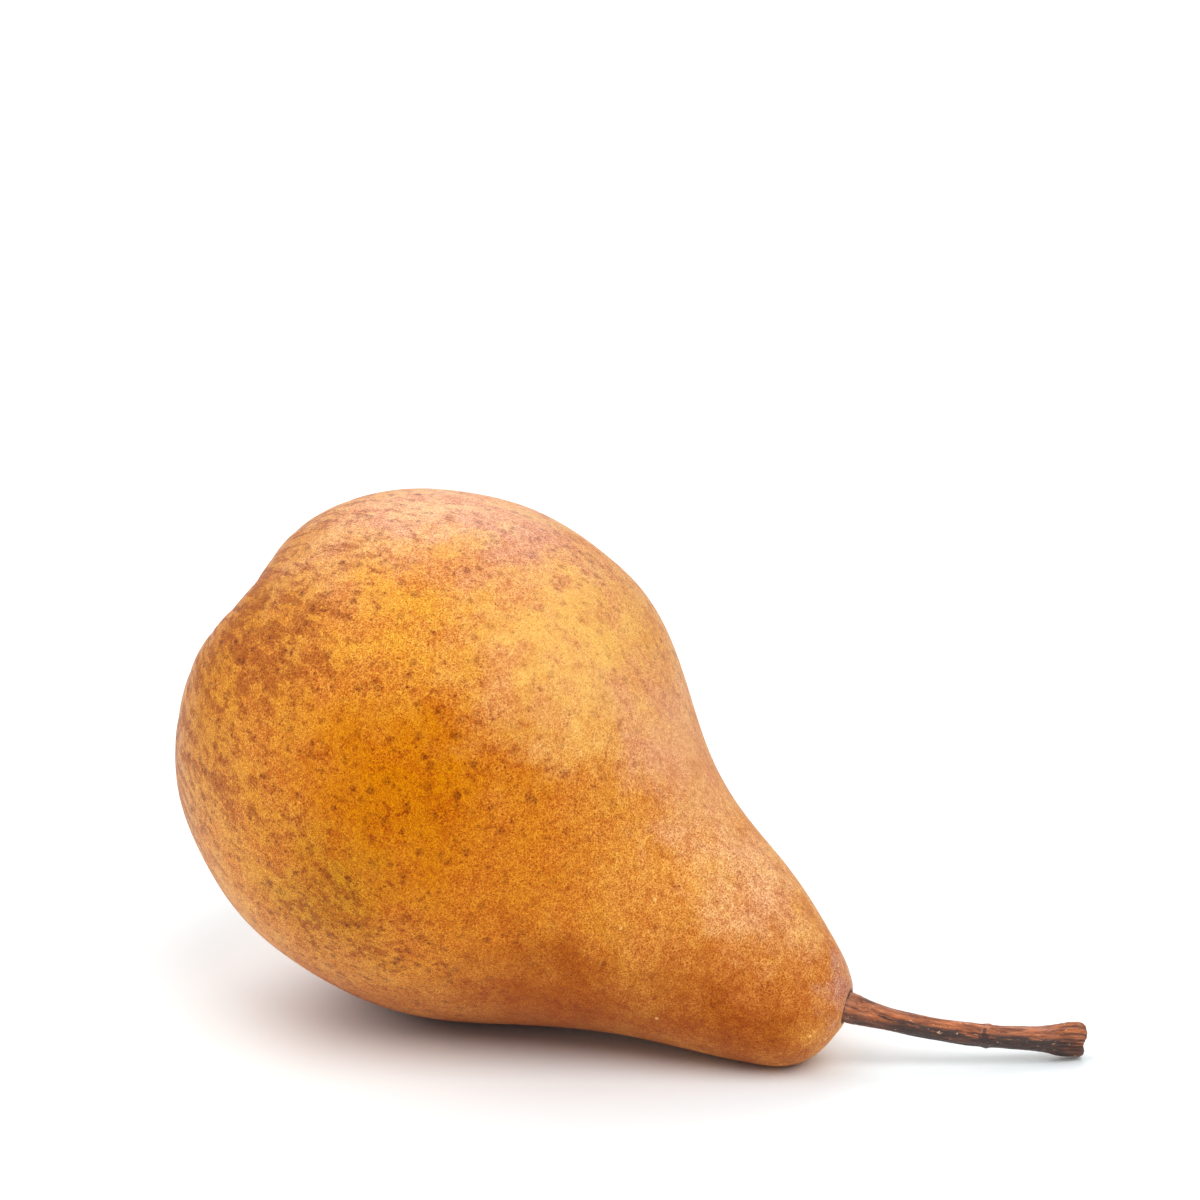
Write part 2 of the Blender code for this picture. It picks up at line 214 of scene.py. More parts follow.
# Camera: the photograph's view of the pear
VIEW_TURN = math.radians(26.78)
VIEW_HEIGHT = math.radians(16.0)
VIEW_DISTANCE = 650.0 * MM
VIEW_RIGHT = 20.69 * MM
VIEW_UP = 59.37 * MM
LENS = 140.4
SENSOR_WIDTH = 36.0
CLIP_START = 0.01
CLIP_END = 50.0

# Light: soft lights as the turn from the view's right (degrees, 90 is behind the pear), the
# height above the floor (degrees), how wide they look (degrees) and their strength
SOFT_LIGHTS = {
    "key": (308, 53, 50, 1.63),
    "side": (180, 50, 60, 1.5),
    "rim": (90, 40, 50, 1.15),
}
SKY_STRENGTH = 0.36
BACKDROP_STRENGTH = 1.2
FLOOR_REACH = 5.0
WHITE = (1.0, 1.0, 1.0, 1.0)


def paint(red, green, blue):
    """A linear colour from display values of 0 to 255."""
    shares = [value / 255.0 for value in (red, green, blue)]
    return [s / 12.92 if s <= 0.04045 else ((s + 0.055) / 1.055) ** 2.4 for s in shares] + [1.0]


GOLD = paint(200, 108, 0)
AMBER = paint(222, 144, 42)
PALE_SKIN_AND_SHEEN = paint(240, 177, 92)
TAN = paint(194, 114, 20)
PINK_TAN_SKIN_AND_SHEEN = paint(224, 162, 108)
PINK_BROWN_SKIN_AND_SHEEN = paint(232, 168, 110)
PALE_ORANGE_SHEEN = paint(230, 168, 100)
ORANGE_TAN = paint(220, 143, 54)
ORANGE = paint(206, 116, 20)
OLIVE_GOLD = paint(193, 122, 16)
RUST = paint(195, 110, 38)
DEEP_RUST = paint(160, 68, 0)
GREY_BROWN = paint(198, 134, 92)
FLECK = paint(250, 206, 128)
# Dark brown painted as shade in the pit round the stem and on the bark that touches the skin
FOOT_SHADE_BROWN = paint(74, 44, 26)

BARK_DARK = paint(104, 52, 32)
BARK_RED = paint(184, 106, 62)
BARK_ORANGE = paint(198, 106, 42)
BARK_PALE = paint(222, 152, 110)
# Dark brown of the bark's cracks and the node, also painted as shade under the stem and in the
# knob's grooves
BARK_CRACK_AND_SHADE = paint(56, 32, 26)
BARK_BLACK = paint(38, 30, 30)
BARK_GREY = paint(190, 132, 106)
BARK_FLECK = paint(232, 186, 146)

FELT_DARK = paint(58, 36, 22)
FELT_PALE = paint(150, 112, 76)
FLOOR_LOOKS = {
    "Base Color": paint(247, 253, 255),
    "Roughness": 0.9,
    "Specular IOR Level": 0.1,
}

# Skin: what each layer does to the ground colour, as factors of red, green and blue
FILM_TINT = (0.84, 0.64, 0.80)
MOTTLE_TINT = (0.61, 0.40, 0.43)
LENTICEL_TINT = (0.43, 0.27, 0.36)
CELL_TINT = (0.76, 0.50, 0.44)
LINE_TINT = (1.42, 2.05, 2.5)
DARK_SPECK_TINT = (0.70, 0.48, 0.40)
PALE_SPECK_TINT = (1.22, 1.52, 1.70)
CLOUD_TINT = (0.90, 0.80, 0.74)

# Skin: soft patches of ground colour, in painting order, as side of the fruit (degrees), height
# along the core, reach across and reach along (mm), colour and strength. The paler patches on the
# upper side are partly painted sheen.
GROUND_PATCHES = {
    "calyx side": (90, -36, 60, 22, TAN, 1.0),
    # Paler, pinker colour on the top: partly the skin's own, partly painted sheen
    "top": (5, -14, 22, 24, PINK_TAN_SKIN_AND_SHEEN, 1.0),
    "golden front": (74, 7, 27, 24, GOLD, 1.0),
    "golden back": (-110, 4, 30, 24, GOLD, 0.8),
    "amber above": (38, -8, 14, 13, AMBER, 0.8),
    # Pale colour on the upper flank: partly paler skin, partly a painted highlight
    "pale sheen flank": (20, 12, 16, 14, PALE_SKIN_AND_SHEEN, 1.0),
    # Pinkish colour on the upper side towards the neck: partly the skin's own, partly painted
    # sheen
    "pink sheen flank": (4, 28, 12, 14, PINK_BROWN_SKIN_AND_SHEEN, 0.8),
    "olive below": (104, 4, 12, 9, OLIVE_GOLD, 0.8),
    "orange shoulder": (85, 25, 19, 14, ORANGE, 0.8),
    "orange back": (-60, 30, 18, 12, ORANGE, 0.6),
    "underside": (180, 18, 28, 42, DEEP_RUST, 1.0),
    "rusty below": (122, 35, 12, 18, DEEP_RUST, 0.85),
    "neck front": (70, 56, 14, 16, RUST, 0.9),
    # Paler orange on the neck's upper side: painted sheen
    "neck top sheen": (12, 46, 9, 14, PALE_ORANGE_SHEEN, 0.9),
    "neck below": (112, 56, 9, 16, DEEP_RUST, 0.75),
    "stem end": (2, 65, 5, 4.5, GREY_BROWN, 1.0),
}
# Skin: how much of it the orange film covers, from 0 to 1, in patches as above
FILM_PATCHES = {
    "calyx side": (90, -34, 60, 20, 0.35, 1.0),
    "golden front": (66, 0, 16, 14, 0.45, 0.9),
    "pale sheen flank": (20, 12, 12, 11, 0.4, 0.9),
    "shoulder": (66, 30, 16, 13, 0.66, 0.9),
    "neck": (50, 54, 30, 18, 0.7, 0.9),
}
FILM_EVERYWHERE = 0.55
# Skin: how much of it the brown mottles cover, from 0 to 1, in patches as above
MOTTLE_PATCHES = {
    "calyx side": (90, -32, 60, 22, 0.57, 1.0),
    "top edge": (0, -20, 24, 20, 0.3, 0.8),
    "front rim": (95, -27, 10, 7, 0.35, 0.9),
    "front": (97, -10, 7, 11, 0.48, 0.8),
    "furrow": (62, -19, 9, 20, 0.6, 0.7),
    "below": (108, 6, 14, 14, 0.5, 0.9),
    "golden front": (72, 4, 20, 16, 0.3, 0.9),
}
MOTTLES_EVERYWHERE = 0.2
# Skin: how strongly its fine pattern shows, from 0 to 1, in patches as above
PATTERN_PATCHES = {
    "top": (0, -14, 20, 18, 0.85, 1.0),
    "pale sheen flank": (20, 12, 17, 15, 0.5, 1.0),
    "pink sheen flank": (2, 28, 12, 13, 0.6, 1.0),
}
PATTERN_EVERYWHERE = 1.0
# Skin: the distances from a patch's middle, as shares of its reach, where it ends and is full
PATCH_FADE = (1.45, 0.15)
# Skin: the noise level that covers nothing, and how far below it the one that covers all is
COVER_NOTHING = 0.78
COVER_SPAN = 0.56

# Below, a noise is given as its lump size (mm), detail and roughness, and a change as where it
# starts and ends and, if they are not 0 and 1, the values there

# Skin: noises that move a pattern about, with their reach (mm) after their lump size
PATCH_TEARING = (7.0, 24.0, 5.0, 0.62)
NET_TEARING = (0.6, 0.4, 1.0, 0.5)
# Skin: noises
FILM_NOISE = (6.0, 6.0, 0.66)
MOTTLE_NOISE = (1.5, 4.0, 0.64)
GRAIN_NOISE = (0.45, 2.0, 0.6)
SQUIGGLE_NOISE = (0.4, 0.0, 0.5)
NET_NOISE = (0.9, 1.0, 0.5)
FUZZ_NOISE = (0.5, 2.0, 0.5)
SPECKLE_NOISE = (0.18, 1.0, 0.5)
CLOUD_NOISE = (4.0, 3.0, 0.6)
NOISE_MIDDLE = 0.5
# Skin: changes with the height along the core (mm)
FILM_SOFTNESS = (5.0, 28.0, 0.1, 0.26)
STREAKS_BY_CALYX = (-2.0, -14.0)
CELLS_BY_NECK = (22.0, 40.0, 1.0, 0.5)
LENTICELS_BY_NECK = (16.0, 36.0, 1.0, 0.4)
CLOUDS_BY_NECK = (26.0, 44.0)
FLECKS_BY_NECK = (30.0, 42.0, 0.0, 0.7)
# Skin: changes with a pattern's level
BORDER_EDGE = (0.2, 0.08, 0.0, 0.7)
SQUIGGLE_EDGE = (0.1, 0.045)
NET_GAPS = (0.35, 0.55, 0.35, 1.0)
CELL_EDGE = (0.6, 0.12)
DARK_SPECK_EDGE = (0.5, 0.3)
PALE_SPECK_EDGE = (0.5, 0.7)
CLOUD_EDGE = (0.46, 0.64)
FLECK_EDGE = (0.1, 0.04)
PIT_SHADE_EDGE = (0.1, 0.6)

# Skin: streaks by the calyx, drawn as they are at one radius, and the least radius used (mm)
STREAK_RADIUS = 30.0
STREAK_LEAST_RADIUS = 1.0
STREAK_STRETCH = 0.55
# Skin: lenticels, as spacing (mm) and reach in spacings, and how uneven and soft they are
LENTICELS = [(2.2, 0.41), (1.35, 0.33)]
LENTICEL_UNEVENNESS = 0.14
LENTICEL_EDGE = 0.24
LENTICEL_FUZZ = 0.3
# Skin: how grainy and soft the mottles are, and the size of cells and spacing of flecks (mm)
MOTTLE_GRAIN = 0.34
MOTTLE_SOFTNESS = 0.08
CELL_SIZE = 0.44
FLECK_SPACING = 3.6
# Skin: strengths off and on the film and mottles
CELL_STRENGTH = (0.3, 0.75)
LINE_STRENGTH = (0.4, 1.0)
SKIN_ROUGHNESS = (0.42, 0.54)
# Skin: strengths of the lenticels off and on the dark cells, and of the film off and on mottles
LENTICEL_STRENGTH = (0.5, 1.0)
FILM_STRENGTH = (1.0, 0.5)
# Skin: its finish
SKIN_FINISH = {
    "Specular IOR Level": 0.28,
    "Specular Tint": (1.0, 0.6, 0.15, 1.0),
    "Sheen Weight": 0.05,
    "Sheen Roughness": 0.4,
}
SPECKLE_RELIEF = 0.8
SKIN_BUMP = 0.025 * MM

# Bark: noises, with their shrinking along the stem first
RIDGE_NOISE = (0.14, 0.5, 4.0, 0.65)
FINE_NOISE = (0.14, 0.15, 3.0, 0.6)
TONE_NOISE = (0.35, 2.4, 2.0, 0.5)
BLOTCH_NOISE = (0.3, 1.7, 3.0, 0.6)
BLACK_STREAK_NOISE = (0.12, 0.8, 2.0, 0.5)
FLAKE_NOISE = (0.4, 0.34, 3.0, 0.6)
# Bark: the scurf's noise, which is not drawn out along the stem
SCURF_NOISE = (0.45, 4.0, 0.7)
# Bark: stretches of the stem with black on them, as where each starts, is full, fades and ends
# on the way from root to knob (mm)
BLACK_STRETCH = (12.0, 18.0, 39.0, 42.0)
BLACK_STREAK_STRETCH = (5.0, 8.0, 14.0, 20.0)
# Bark: changes along the stem and with the height over its middle line (mm)
# Black kept low on the stem: partly real black bark, partly painted shade on its lower side
BLACK_AND_SHADE_BELOW = (1.0, 0.5)
SCURF_BY_FOOT = (10.0, 5.0)
SHADE_BELOW = (0.5, -0.5, 0.0, 0.75)
NODE_CRACK = (0.35, 0.1, 0.0, 0.85)
NODE_WANDER = 3.0
# Bark: changes with a pattern's level
TONE_EDGE = (0.4, 0.54)
RIDGE_EDGE = (0.34, 0.62)
CREST_EDGE = (0.58, 0.74)
FINE_EDGE = (0.42, 0.30, 0.0, 0.7)
BLACK_EDGE = (0.34, 0.44)
BLACK_STREAK_EDGE = (0.57, 0.63)
BLACK_STRENGTH = (0.7, 0.5, 0.5, 0.95)
SCURF_EDGE = (0.4, 0.6)
FLAKE_EDGE = (0.64, 0.72, 0.0, 0.8)
GROOVE_SHADE_EDGE = (0.35, 0.8, 0.0, 0.75)
FOOT_SHADE_EDGE = (0.35, 0.55)
BARK_ROUGHNESS = (0.3, 0.7, 0.62, 0.38)
# Bark: its finish
BARK_FINISH = {"Specular IOR Level": 0.5}
FINE_RELIEF = 0.5
BARK_BUMP = 0.15 * MM

# Calyx: its felted streaks and its finish
FELT_NOISE = (0.5, 4.0, 0.7)
FELT_EDGE = (0.35, 0.65)
FELT_FINISH = {"Roughness": 0.8, "Sheen Weight": 0.04}
FELT_BUMP = 0.12 * MM


def ease(value):
    """0 below 0, 1 above 1 and an S curve between."""
    value = np.clip(value, 0.0, 1.0)
    return value * value * (3.0 - 2.0 * value)


def spline(stops, values, first_slope, last_slope, places):
    """Values at some places on the smooth cubic curve through the stops, with set end slopes."""
    gaps = np.diff(stops)
    slopes = np.concatenate([[first_slope], np.diff(values) / gaps, [last_slope]])
    both_gaps = np.append(0.0, gaps) + np.append(gaps, 0.0)
    system = 2.0 * np.diag(both_gaps) + np.diag(gaps, 1) + np.diag(gaps, -1)
    bends = np.linalg.solve(system, 6.0 * np.diff(slopes))
    span = np.clip(np.searchsorted(stops, places) - 1, 0, len(gaps) - 1)
    width = gaps[span]
    before = places - stops[span]
    after = stops[span + 1] - places
    cubic = (bends[span] * after ** 3 + bends[span + 1] * before ** 3) / (6.0 * width)
    from_left = (values[span] / width - bends[span] * width / 6.0) * after
    from_right = (values[span + 1] / width - bends[span + 1] * width / 6.0) * before
    return cubic + from_left + from_right


def chord_lengths(points):
    """How far along a row of points each one is."""
    steps = np.linalg.norm(np.diff(points, axis=0), axis=1)
    return np.concatenate([[0.0], np.cumsum(steps)])


def roughly(points, size):
    """Smooth noise from about -1 to 1 at each point, with bumps of a size."""
    return np.array([noise.noise(point) for point in points / size])


def around(sides):
    """Evenly spaced angles round a circle."""
    return np.linspace(0.0, 2.0 * np.pi, sides, endpoint=False)


def ring_faces(rows, sides):
    """The quads between rings of points, each ring as long as the next."""
    first = np.arange(rows - 1)[:, None] * sides
    side = np.arange(sides)
    after = (side + 1) % sides
    quads = [first + side, first + sides + side, first + sides + after, first + after]
    return np.stack(np.broadcast_arrays(*quads), axis=-1).reshape(-1, 4)


def rod_faces(rows, sides):
    """The quads between rings of points, and a face that closes each end."""
    ring = list(range(sides))
    last = list(range((rows - 1) * sides, rows * sides))
    return ring_faces(rows, sides).tolist() + [ring, last[::-1]]


def turned_rings(radii, heights, sides):
    """Rings of points round the core, with a radius and a height for each."""
    turn = around(sides)
    places = [
        np.outer(radii, np.cos(turn)),
        np.outer(radii, np.sin(turn)),
        np.repeat(heights[:, None], sides, axis=1),
    ]
    return np.stack(places, axis=-1).reshape(-1, 3)


def new_mesh(name, points, faces):
    """A smooth-shaded mesh."""
    mesh = bpy.data.meshes.new(name)
    mesh.from_pydata(points.tolist(), [], [tuple(face) for face in faces])
    mesh.shade_smooth()
    return mesh


def move_points(mesh, points):
    """Put a mesh's vertices in new places."""
    mesh.vertices.foreach_set("co", points.ravel())
    mesh.update()


def mark_points(mesh, name, values):
    """Store a number at each of a mesh's vertices, for its material."""
    mesh.attributes.new(name, "FLOAT", "POINT").data.foreach_set("value", values)


def new_object(name, data):
    """An object in the scene."""
    thing = bpy.data.objects.new(name, data)
    bpy.context.scene.collection.objects.link(thing)
    return thing


def new_piece(name, mesh, material, nodes=()):
    """An object that rides on the pear, with its material and the nodes it stands for."""
    piece = new_object(name, mesh)
    mesh.materials.append(material)
    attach(piece, "root")
    if nodes:
        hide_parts(*nodes)
    return piece


def normals_of(mesh):
    """The mesh's vertex normals as an array."""
    flat = np.empty(len(mesh.vertices) * 3)
    mesh.vertices.foreach_get("normal", flat)
    return flat.reshape(-1, 3)


def turned(points, matrix):
    """Points moved by a matrix."""
    spin = np.array(matrix.to_3x3())
    return points @ spin.T + np.array(matrix.translation)


# Fruit

def fruit_outline():
    """The fruit's half outline as radius and height, from the neck's tip to the basin floor."""
    points = np.array(OUTLINE) * MM
    along = chord_lengths(points)
    share = np.linspace(0.0, 1.0, OUTLINE_STEPS + 1)
    share = share - OUTLINE_CROWDING * np.sin(2.0 * np.pi * share) / (2.0 * np.pi)
    places = share * along[-1]
    heights = spline(along, points[:, 0], 0.0, 0.0, places)
    radii = spline(along, points[:, 1], 1.0, -1.0, places)
    radii[[0, -1]] = 0.0
    return np.maximum(radii, 0.0), heights


def shape_fruit(points):
    """Make a round fruit lopsided: points in the pear's own frame, moved by formula."""
    x, y, z = points.T
    side = np.arctan2(y, x)
    radius = np.hypot(x, y)

    belly = ease((z - FULLNESS_LOW) / -FULLNESS_LOW) * ease((FULLNESS_HIGH - z) / FULLNESS_HIGH)
    swell = FULLNESS * belly * (1.0 + np.cos(2.0 * (side - FULLNESS_SIDE)))
    widened = 1.0 + swell / np.maximum(radius, MM)
    shoulder = np.clip(1.0 - np.abs(z - SHOULDER_HEIGHT) / SHOULDER_REACH, 0.0, 1.0)
    lean = SHOULDER_LEAN * np.sin(0.5 * np.pi * shoulder) ** 2
    x = x * widened + lean * math.cos(SHOULDER_SIDE)
    y = y * widened + lean * math.sin(SHOULDER_SIDE)

    outside_basin = ease(radius / BASIN_FADE)
    off_furrow = (side - FURROW_SIDE + np.pi) % (2.0 * np.pi) - np.pi
    furrow_fade = ease((FURROW_END - z) / (FURROW_END - RIM_HEIGHT))
    furrow = FURROW_DEPTH * np.exp(-(off_furrow / FURROW_SPREAD) ** 2) * furrow_fade
    rib_fade = ease((RIB_END - z) / (RIB_END - RIM_HEIGHT))
    ribs = RIB_HEIGHT * np.cos(RIB_COUNT * off_furrow) * rib_fade
    moved = np.stack([x, y, z], axis=1)
    distance = np.linalg.norm(moved, axis=1)
    inward = (furrow + ribs) * outside_basin / distance
    return moved * (1.0 - inward)[:, None]


def skin_relief(points):
    """How far the skin lies inside the plain shape: soft dents, and creases by the calyx."""
    dents = sum(depth * 0.5 * (roughly(points, size) + 1.0) for size, depth in DENTS)
    side = np.arctan2(points[:, 1], points[:, 0])
    radius = np.hypot(points[:, 0], points[:, 1])
    near_calyx = ease((CREASE_END - points[:, 2]) / (CREASE_END - RIM_HEIGHT))
    wander = CREASE_WANDER * roughly(points, CREASE_WANDER_SIZE)
    crease = (0.5 + 0.5 * np.cos(CREASE_COUNT * side + wander)) ** CREASE_SHARPNESS
    return dents + CREASE_DEPTH * crease * near_calyx * ease(radius / BASIN_FADE)


def open_for_stem(points, normals, line, radii):
    """Sink the skin into a pit round the stem, and raise a soft lip round the pit."""
    inner_half = line[: len(line) // 2]
    foot = inner_half[len(inner_half) // 2]
    near = np.linalg.norm(points - foot, axis=1) < FOOT_REACH
    away = np.linalg.norm(points[near][:, None, :] - inner_half[None], axis=2)
    closest = away.argmin(axis=1)
    clear = away.min(axis=1) - radii[closest] - PIT_GAP
    sunk = ease(1.0 - clear / PIT_WALL)
    inward = (line[closest] - line[closest + 1]) / np.linalg.norm(line[1] - line[0])
    lip = LIP_HEIGHT * np.exp(-((clear - LIP_PLACE) / LIP_SPREAD) ** 2) * (1.0 - sunk)
    points[near] += inward * (PIT_DEPTH * sunk)[:, None] + normals[near] * lip[:, None]
    # How far each point is sunk into the pit, where its material paints shade
    crack = np.zeros(len(points))
    crack[near] = sunk
    return points, crack


def plain_fruit():
    """The fruit's plain shape in the pear's own frame: its points and its faces."""
    radii, heights = fruit_outline()
    tip, floor = [[(0.0, 0.0, height)] for height in heights[[0, -1]]]
    rings = turned_rings(radii[1:-1], heights[1:-1], SIDES)
    points = shape_fruit(np.concatenate([tip, rings, floor]))

    rows = OUTLINE_STEPS - 1
    last = 1 + (rows - 1) * SIDES
    pairs = [(side, (side + 1) % SIDES) for side in range(SIDES)]
    tip_faces = [(0, 1 + side, 1 + after) for side, after in pairs]
    floor_faces = [(last + after, last + side, len(points) - 1) for side, after in pairs]
    return points, tip_faces + (ring_faces(rows, SIDES) + 1).tolist() + floor_faces


def lay_down(points):
    """The matrix from the pear's own frame to how it lies, pressed a little into the floor."""
    spin = Matrix.Rotation(math.pi / 2 + LIE_TILT, 4, "Y") @ Matrix.Rotation(math.pi, 4, "Z")
    lowest = turned(points, spin)[:, 2].min()
    return Matrix.Translation((0.0, 0.0, -lowest - PRESSED)) @ spin


def build_fruit():
    """The fruit's skin. Gives the matrix that lays the pear down, the shift in it and the skin."""
    points, faces = plain_fruit()
    laid = lay_down(points)
    mesh = new_mesh("fruit_skin", points, faces)
    points = points - normals_of(mesh) * skin_relief(points)[:, None]
    lying = turned(points, laid)
    low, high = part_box("fruit")
    middle = 0.5 * (lying.min(axis=0) + lying.max(axis=0))
    shift = Vector((0.5 * (low.x + high.x) - middle[0], 0.5 * (low.y + high.y) - middle[1], 0.0))
    laid = Matrix.Translation(shift) @ laid
    lying = turned(points, laid)

    line, share = stem_line(shift)
    move_points(mesh, lying)
    lying, crack = open_for_stem(lying, normals_of(mesh), line, stem_radius(share))
    lying = np.clip(lying, np.array(low), np.array(high))
    move_points(mesh, lying)
    mark_points(mesh, "crack", crack)
    new_piece("fruit_skin", mesh, skin_material(laid), ["fruit"])
    return laid, shift, BVHTree.FromPolygons(lying.tolist(), faces)


# Stem

def stem_line(shift):
    """Points along the stem's middle line, and the share of its length at each."""
    route = np.array(STEM_ROUTE) * MM + np.array(shift)
    along = chord_lengths(route)
    share = np.linspace(0.0, 1.0, STEM_STEPS)
    first = (route[1] - route[0]) / (along[1] - along[0])
    last = (route[-1] - route[-2]) / (along[-1] - along[-2])
    line = [
        spline(along, route[:, axis], first[axis], last[axis], share * along[-1])
        for axis in range(3)
    ]
    return np.stack(line, axis=1), share


def stem_radius(share):
    """The stem's mean radius at a share of its length."""
    stops, radii = (np.array(STEM_RADII) * MM).T
    return spline(stops, radii, 0.0, STEM_END_SLOPE, share * stops[-1])


def knob_share(share):
    """How far into the knob a share of the stem's length is, from 0 to 1."""
    return ease((share - KNOB_START) / (1.0 - KNOB_START))


def carried_frames(line):
    """Two directions across a line at each of its points, carried along it without twist."""
    ahead = [Vector(step).normalized() for step in np.gradient(line, axis=0)]
    across = ahead[0].cross(Vector((0, 0, 1))).normalized()
    frames = []
    for forward in ahead:
        across = (across - forward * across.dot(forward)).normalized()
        frames.append((np.array(across), np.array(across.cross(forward)), np.array(forward)))
    return [np.array(axes) for axes in zip(*frames)]


def spokes_round(across, upward, angles):
    """Directions away from a line at some angles round it, from its two directions across."""
    sideways = across[:, None, :] * np.cos(angles)[..., None]
    return sideways + upward[:, None, :] * np.sin(angles)[..., None]


def stem_shape(share, angle, radius, along):
    """The stem's radius at every place, from the plain one: ridges, lobes, node and bark."""
    ridge = STEM_RIDGE_HEIGHT * np.cos(STEM_RIDGES * angle + STEM_RIDGE_TWIST * share)
    lobes = KNOB_LOBING * knob_share(share) * np.cos(2.0 * (angle - KNOB_LOBE_SIDE))
    node = NODE_HEIGHT * np.exp(-((share - NODE_SHARE) / NODE_SPREAD) ** 2)
    wander = KNOB_GROOVE_WANDER * np.sin(KNOB_GROOVE_WAVES * angle) + KNOB_GROOVE_TWIST * share
    grooving = 1.0 - np.abs(np.sin(0.5 * KNOB_GROOVES * angle + wander))
    grooving = grooving * ease((share - KNOB_GROOVE_START) / KNOB_GROOVE_FADE)
    straight = np.stack([radius * np.cos(angle), radius * np.sin(angle), along], axis=-1)
    bark = np.zeros(share.shape)
    for size, stretch, height in BARK:
        stretched = straight * np.array([1.0, 1.0, 1.0 / stretch])
        bark += height * roughly(stretched.reshape(-1, 3), size).reshape(share.shape)
    shaped = radius * (1.0 + lobes) + ridge + node + bark - KNOB_GROOVE_DEPTH * grooving
    return shaped, straight, grooving


def nearness(points, skin):
    """1 where a point touches the skin, falling to 0 a little way off."""
    gaps = [skin.find_nearest(point, FOOT_SHADE_REACH)[3] for point in points.tolist()]
    return np.array([0.0 if gap is None else 1.0 - gap / FOOT_SHADE_REACH for gap in gaps])


def build_stem(shift, skin, material):
    """The woody stem: bark-ridged shank, node and the rough two-lobed knob with its end face."""
    line, share = stem_line(shift)
    across, upward, ahead = carried_frames(line)
    shares, angles = np.meshgrid(share, around(STEM_SIDES), indexing="ij")
    along = np.repeat(chord_lengths(line)[:, None], STEM_SIDES, axis=1)
    mean = np.repeat(stem_radius(share)[:, None], STEM_SIDES, axis=1)
    radius, straight, grooving = stem_shape(shares, angles, mean, along)
    spokes = spokes_round(across, upward, angles)
    notch = KNOB_NOTCH * np.cos(angles - KNOB_NOTCH_SIDE) ** KNOB_NOTCH_SHARPNESS
    back = notch * knob_share(shares)
    rings = line[:, None, :] + spokes * radius[..., None] - ahead[:, None, :] * back[..., None]

    # The end face: rings that shrink to the middle of a rough hollow
    shrink = np.linspace(0.0, 1.0, END_RINGS + 1)[1:-1]
    inner = (1.0 - shrink)[:, None, None]
    inner_straight = straight[-1][None] * inner
    rough = roughly(inner_straight.reshape(-1, 3), END_ROUGHNESS_SIZE)
    sunk = END_HOLLOW * ease(shrink / END_HOLLOW_SHARE)
    sunk = sunk[:, None] + END_ROUGHNESS * rough.reshape(len(shrink), STEM_SIDES)
    sunk += back[-1] * (1.0 - shrink[:, None] ** 2)
    reach = spokes[-1][None] * radius[-1][None, :, None] * inner
    face = line[-1] + reach - ahead[-1] * sunk[..., None]
    points = np.concatenate([rings.reshape(-1, 3), face.reshape(-1, 3)])
    places = np.concatenate([straight.reshape(-1, 3), inner_straight.reshape(-1, 3)])

    faces = rod_faces(STEM_STEPS + len(shrink), STEM_SIDES)
    low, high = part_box("stem")
    mesh = new_mesh("stem_wood", np.clip(points, np.array(low), np.array(high)), faces)
    unrolled = mesh.attributes.new("straight", "FLOAT_VECTOR", "POINT")
    unrolled.data.foreach_set("vector", (places / MM).astype(np.float32).ravel())
    groove = np.concatenate([grooving.ravel(), (grooving[-1][None] * inner[..., 0]).ravel()])
    # How deep the knob's grooves are, where shade is painted
    mark_points(mesh, "groove", groove)
    # How near the bark is to the skin, where shade is painted round the stem's foot
    mark_points(mesh, "foot_shade", nearness(points, skin))
    new_piece("stem_wood", mesh, material, ["stem"])


# Calyx

def sepal_mesh(index):
    """One dry sepal in the pear's own frame: a wrinkled pointed blade that curls outwards."""
    uneven = SEPAL_UNEVENNESS * math.sin(SEPAL_UNEVEN_STEP * index + SEPAL_UNEVEN_START)
    length = SEPAL_LENGTH * (1.0 + uneven)
    turn = 2.0 * math.pi * index / SEPAL_COUNT + uneven
    along, across = np.meshgrid(
        np.linspace(0.0, 1.0, SEPAL_ROWS), np.linspace(-1.0, 1.0, SEPAL_COLUMNS), indexing="ij"
    )
    taper = (1.0 - along) ** SEPAL_TAPER * (1.0 + SEPAL_BELLY * along)
    half = SEPAL_TIP + SEPAL_HALF_WIDTH * taper
    slope = SEPAL_SPREAD + (SEPAL_CURL - 2.0 * uneven) * along
    mean_slope = 0.5 * (SEPAL_SPREAD + slope)
    cupping = along * (across * half) ** 2 / (2.0 * SEPAL_CUP_RADIUS)
    own_wrinkles = np.full(along.shape, SEPAL_WRINKLE_STEP * index)
    seeds = np.stack(
        [along * SEPAL_WRINKLES_ALONG, across * SEPAL_WRINKLES_ACROSS, own_wrinkles], axis=-1
    ).reshape(-1, 3)
    wrinkle = SEPAL_WRINKLE * roughly(seeds, SEPAL_WRINKLE_SIZE).reshape(along.shape)
    lift = wrinkle * ease(along / SEPAL_WRINKLE_START) - cupping
    out = length * along * np.sin(mean_slope) + lift * np.cos(slope)
    down = length * along * np.cos(mean_slope) - lift * np.sin(slope)
    foot = CALYX_TOP - CUP_HEIGHT / 2
    points = np.stack([CUP_RADIUS - SEPAL_INSET + out, across * half, foot - down], axis=-1)
    corner = np.arange(SEPAL_ROWS - 1)[:, None] * SEPAL_COLUMNS + np.arange(SEPAL_COLUMNS - 1)
    quads = np.stack(
        [corner, corner + SEPAL_COLUMNS, corner + SEPAL_COLUMNS + 1, corner + 1], axis=-1
    )
    spun = turned(points.reshape(-1, 3), Matrix.Rotation(turn, 4, "Z"))
    return spun, quads.reshape(-1, 4).tolist()


